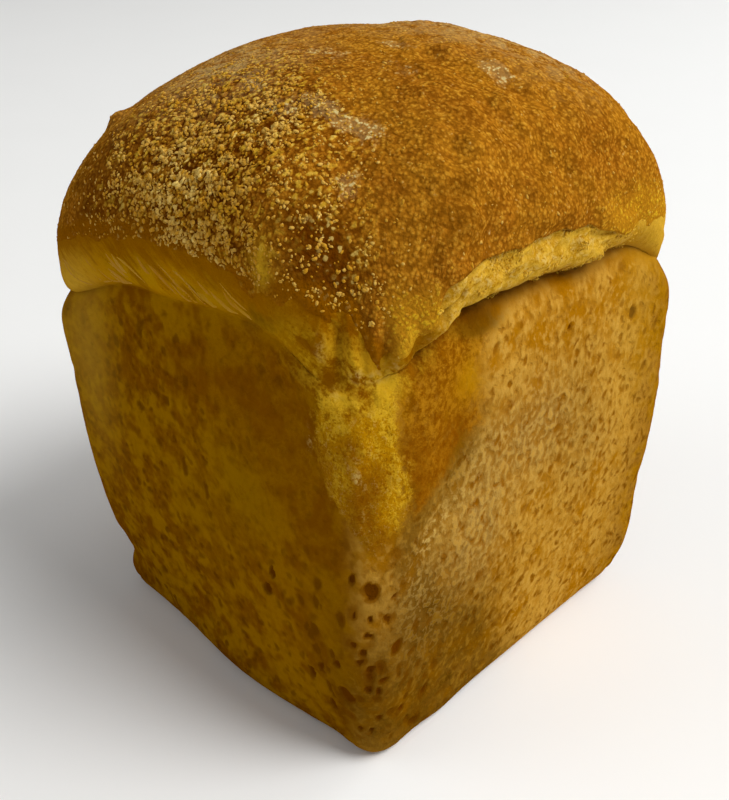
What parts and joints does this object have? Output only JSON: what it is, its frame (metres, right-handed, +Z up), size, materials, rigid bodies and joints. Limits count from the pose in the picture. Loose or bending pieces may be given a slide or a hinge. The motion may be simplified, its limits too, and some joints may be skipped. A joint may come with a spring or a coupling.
{
  "type": "yeast-free wheat bread tin loaf",
  "caption": "Whole square tin loaf of yeast-free wheat bread with a domed, blistered crust, a torn rim and pitted sides.",
  "frame": {"origin": "middle of the foot, on the surface that the loaf stands on", "axes": "+Z up through the dome; the four walls face X and Y; the corner between +X and -Y is the pinched one and the +X side has the torn rim"},
  "size_m": [0.1095, 0.1092, 0.1454],
  "materials": {
    "crust": "matt baked bread crust, amber on the dome and paler on the tin-baked sides"
  },
  "bodies": {
    "root": {"loaf": "crust"}
  },
  "joints": []
}
